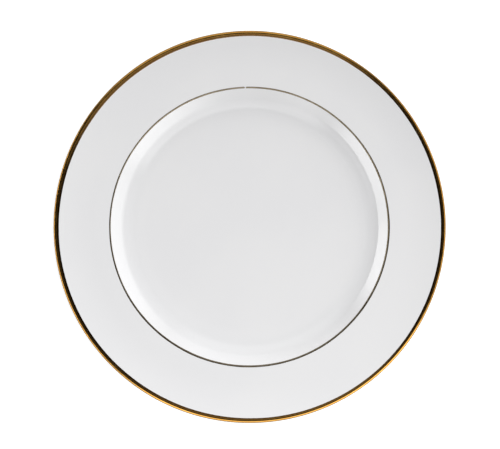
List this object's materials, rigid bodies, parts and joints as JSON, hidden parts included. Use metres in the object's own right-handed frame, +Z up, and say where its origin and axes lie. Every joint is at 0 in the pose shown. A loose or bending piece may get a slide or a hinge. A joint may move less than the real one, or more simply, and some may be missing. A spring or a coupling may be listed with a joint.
{
  "type": "china dinner plate",
  "caption": "Round rimmed dinner plate in white glazed china, with a flat well, a wide flange, a gilded edge, a fine gold line at the shoulder and a foot ring.",
  "frame": {"origin": "centre of the plane that the foot ring rests on, under the middle of the plate", "axes": "+Z up along the axis that the plate was turned about, out of the eating face; X and Y are any two square directions across it"},
  "size_m": [0.27, 0.27, 0.022],
  "materials": {
    "fired_china": "fired white china body, bare and matt where it shows on the foot ring",
    "clear_glaze": "glossy clear glaze over white china",
    "burnished_gold": "bright on-glaze gold, hand-banded and lightly worn"
  },
  "bodies": {
    "root": {"porcelain_body": "fired_china", "main_glaze_coat": "clear_glaze", "base_recess_glaze": "clear_glaze", "rim_gold_band": "burnished_gold", "verge_gold_line": "burnished_gold"}
  },
  "joints": []
}
